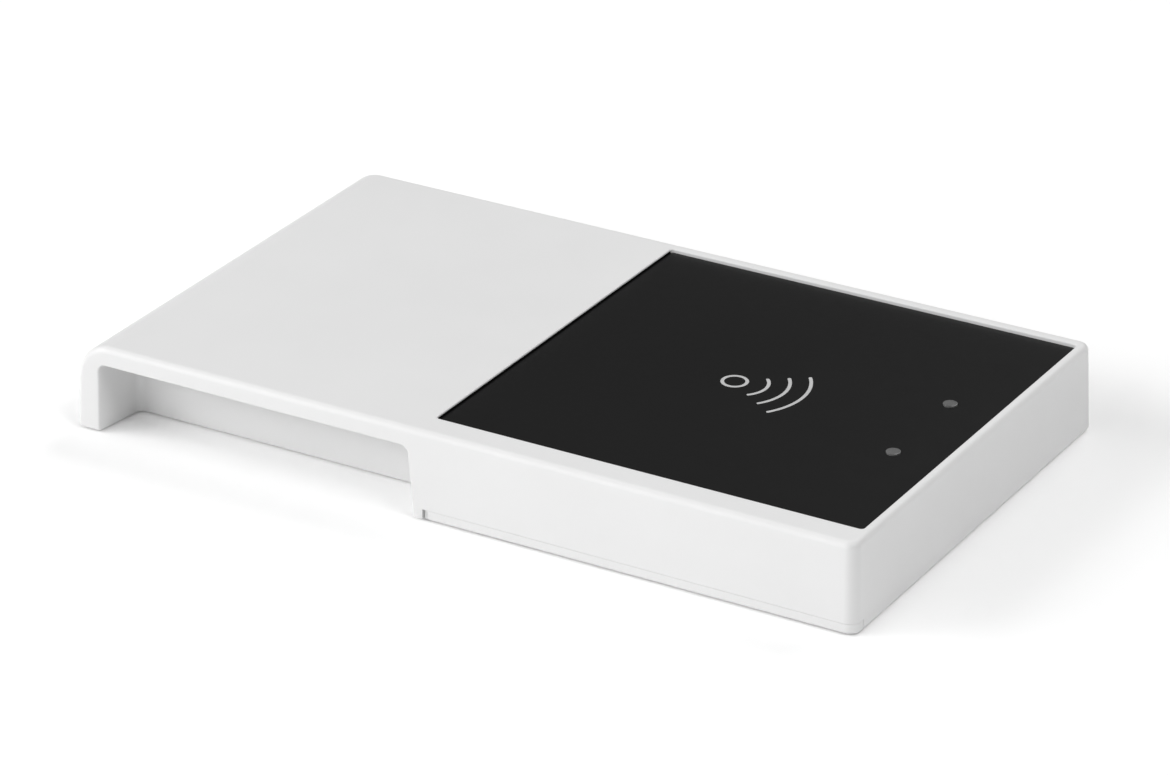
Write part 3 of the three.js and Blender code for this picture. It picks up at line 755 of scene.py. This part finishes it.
def makeLamp(x, y, low):
    flangeTop = pocketCeiling
    rim = panelHigh.z + lamp["proud"]
    inner = lamp["radius"] - lamp["edgeRadius"]
    outline = [(0, low), (lamp["radius"] - lamp["footEdge"], low), (lamp["radius"], low + lamp["footEdge"]),
               (lamp["radius"], flangeTop - lamp["flange"]),
               (lamp["flangeRadius"], flangeTop - lamp["flange"]),
               (lamp["flangeRadius"], flangeTop), (lamp["radius"], flangeTop),
               (lamp["radius"], rim - lamp["edgeRadius"])]
    for step in range(1, 4):
        angle = math.pi / 2 * step / 3
        outline.append((inner + lamp["edgeRadius"] * math.cos(angle),
                        rim - lamp["edgeRadius"] * (1 - math.sin(angle))))
    for step in range(1, lamp["crownSteps"] + 1):
        share = step / lamp["crownSteps"]
        outline.append((inner * (1 - share), rim + lamp["crown"] * (1 - (1 - share) ** 2)))
    outline[-1] = (0, outline[-1][1])
    return turned(x, y, outline)


for place, at in lampPlaces.items():
    node = "lamp_lens_" + place
    finishPiece("lampLens_" + place, makeLamp(at.x, at.y, boxOf(node)[0].z),
                finishes["smoked_lens"], [node])
print("stage: lamps made")

# Rubber feet
foot = {"radius": 5.0, "edgeRadius": 0.25, "topEdge": 0.05,
        "ringRadius": 3.4, "ringDepth": 0.12, "ringWidth": 0.5, "ringSlope": 0.1}


def makeFoot(x, y):
    high = boxOf("foot_rear_left")[1].z
    edge = foot["edgeRadius"]
    inner, outer = foot["ringRadius"], foot["ringRadius"] + foot["ringWidth"]
    slope, deep = foot["ringSlope"], foot["ringDepth"]
    outline = [(0, 0), (inner, 0), (inner + slope, deep), (outer - slope, deep), (outer, 0)]
    for step in range(6):
        angle = math.pi / 2 * step / 5
        outline.append((foot["radius"] - edge + edge * math.sin(angle), edge - edge * math.cos(angle)))
    topEdge = foot["topEdge"]
    outline += [(foot["radius"], high - topEdge), (foot["radius"] - topEdge, high), (0, high)]
    return turned(x, y, outline, 72)


for place, at in footPlaces.items():
    finishPiece("rubberFoot_" + place, makeFoot(at.x, at.y), finishes["foot_rubber"],
                ["foot_" + place])
print("stage: feet made")

# Screws
screwForm = {"crown": 0.62, "brim": 0.8, "slotWidth": 0.26, "slotLength": 1.15, "slotDepth": 0.6,
             "thread": 0.12, "pitch": 0.7, "plain": 0.3, "point": 0.8, "tip": 0.3}
# head radius, head height and shank radius
screwSizes = {"case": (2.5, 1.3, 1.3), "board": (2.1, 1.4, 1.0)}


def makeScrew(node, headRadius, headHeight, shankRadius):
    low, high = boxOf(node)
    at = (low + high) / 2
    neck = low.z + headHeight
    outline = [(0, low.z), (headRadius * screwForm["crown"], low.z)]
    for step in range(1, 8):
        angle = math.pi / 2 * step / 7
        outline.append((
            headRadius * (screwForm["crown"] + (1 - screwForm["crown"]) * math.sin(angle)),
            low.z + headHeight * screwForm["brim"] * (1 - math.cos(angle))))
    outline += [(headRadius, neck), (shankRadius, neck)]
    height = neck + screwForm["plain"]
    while height + screwForm["pitch"] < high.z - shankRadius:
        outline += [(shankRadius - screwForm["thread"], height),
                    (shankRadius, height + screwForm["pitch"] / 2),
                    (shankRadius - screwForm["thread"], height + screwForm["pitch"])]
        height += screwForm["pitch"]
    outline += [(shankRadius * screwForm["point"], high.z - shankRadius),
                (shankRadius * screwForm["tip"], high.z), (0, high.z)]
    shape = turned(at.x, at.y, outline, 40)
    long, thin = headRadius * screwForm["slotLength"] / 2, headRadius * screwForm["slotWidth"] / 2
    depth = low.z + headHeight * screwForm["slotDepth"]
    across = block((at.x - long, at.y - thin, low.z - 1), (at.x + long, at.y + thin, depth))
    along = block((at.x - thin, at.y - long, low.z - 1), (at.x + thin, at.y + long, depth))
    return combined(combined(shape, across), along)


for place in fourCorners:
    for kind, sizes in screwSizes.items():
        node = kind + "_screw_" + place
        finishPiece(kind + "Screw_" + place, makeScrew(node, *sizes), finishes["screw_steel"],
                    [node])
print("stage: screws made")

# Blank type label
label = {"cornerRadius": 1.0}


def makeLabel():
    shape = block(labelLow, labelHigh)
    return rounded(shape, uprightEdges(shape), label["cornerRadius"], 6)


finishPiece("typeLabel", makeLabel(), finishes["label_film"], ["type_label"])

# Cable socket in the bay's rear wall
socket = {"sheet": 0.3, "cornerRadius": 0.9, "tongueEdge": 0.12}


def makeSocketShell():
    shape = block(socketLow, socketHigh)
    along = [e for e in shape.edges if not near(e.verts[0].co.y, e.verts[1].co.y)]
    rounded(shape, along, socket["cornerRadius"], 6)
    sheet = socket["sheet"]
    mouth = block((socketLow.x + sheet, socketLow.y - 1, socketLow.z + sheet),
                  (socketHigh.x - sheet, socketHigh.y - sheet, socketHigh.z - sheet))
    along = [e for e in mouth.edges if not near(e.verts[0].co.y, e.verts[1].co.y)]
    rounded(mouth, along, socket["cornerRadius"] - sheet, 6)
    return combined(shape, mouth)


def makeTongue():
    shape = block(*boxOf("cable_socket_tongue"))
    front = boxOf("cable_socket_tongue")[0].y
    return rounded(shape, edgesWith(shape, lambda co: near(co.y, front)), socket["tongueEdge"], 3)


finishPiece("socketShell", makeSocketShell(), finishes["plated_sheet"],
            ["cable_socket_shell"])
finishPiece("socketTongue", makeTongue(), finishes["connector_plastic"],
            ["cable_socket_tongue"])
print("stage: label and socket made")

# Floor, light and camera
studio = {
    "floorSize": 8.0,
    "floorTone": 0.93,
    "floorDrop": 0.00003,  # keeps the floor clear of the feet's undersides
    "floorRoughness": 0.9,
    "floorGlow": 0.065,
    "surroundings": 0.01,
    "cameraAt": (0.3707, -0.6330, 0.36065),
    "cameraLooks": (-0.455218, 0.777395, -0.434089),
    "lens": 153.1,
}


# place, width, height and power of each light; all face the middle of the table
softBoxes = {
    "overheadLight": ((-0.2, 0.0, 1.5), 1.6, 1.6, 3.9),
    "frontLight": ((-0.5, -1.5, 0.8), 1.2, 0.8, 10.5),
    "leftLight": ((-1.3, -0.8, 0.8), 1.0, 0.8, 18.3),
    "rightLight": ((1.1, -0.3, 1.3), 0.8, 0.8, 11.0),
    "backLight": ((0.3, 1.2, 1.3), 1.2, 0.8, 12.2),
    "panelLight": ((-0.68, 1.17, 0.65), 1.4, 0.8, 0.65),
}


def makeFloor():
    shape = bmesh.new()
    bmesh.ops.create_grid(shape, x_segments=1, y_segments=1, size=studio["floorSize"] / 2)
    bmesh.ops.translate(shape, vec=(0, 0, -studio["floorDrop"]), verts=shape.verts)
    mesh = bpy.data.meshes.new("floor")
    shape.to_mesh(mesh)
    shape.free()
    floor = bpy.data.objects.new("floor", mesh)
    bpy.context.scene.collection.objects.link(floor)
    material = bpy.data.materials.new("paleFloor")
    material.use_nodes = True
    shader = material.node_tree.nodes["Principled BSDF"]
    shader.inputs["Base Color"].default_value = (*grey(studio["floorTone"]), 1)
    shader.inputs["Roughness"].default_value = studio["floorRoughness"]
    shader.inputs["Specular IOR Level"].default_value = 0.0
    shader.inputs["Emission Color"].default_value = (1, 1, 1, 1)
    shader.inputs["Emission Strength"].default_value = studio["floorGlow"]
    mesh.materials.append(material)


def softBox(name, place, width, height, power):
    light = bpy.data.lights.new(name, "AREA")
    light.shape = "RECTANGLE"
    light.size = width
    light.size_y = height
    light.energy = power
    holder = bpy.data.objects.new(name, light)
    holder.location = place
    holder.rotation_euler = (-Vector(place)).to_track_quat("-Z", "Y").to_euler()
    bpy.context.scene.collection.objects.link(holder)


makeFloor()
for name, (place, width, height, power) in softBoxes.items():
    softBox(name, place, width, height, power)

world = bpy.data.worlds.new("surroundings")
world.use_nodes = True
world.node_tree.nodes["Background"].inputs["Color"].default_value = (1, 1, 1, 1)
world.node_tree.nodes["Background"].inputs["Strength"].default_value = studio["surroundings"]
bpy.context.scene.world = world
bpy.context.scene.view_settings.view_transform = "Standard"

camera = bpy.data.objects.new("camera", bpy.data.cameras.new("camera"))
camera.data.lens = studio["lens"]
camera.data.sensor_width = 36
camera.data.clip_start = 0.01
camera.data.clip_end = 20
camera.location = studio["cameraAt"]
camera.rotation_euler = Vector(studio["cameraLooks"]).to_track_quat("-Z", "Y").to_euler()
bpy.context.scene.collection.objects.link(camera)
bpy.context.scene.camera = camera
print("stage: studio made")
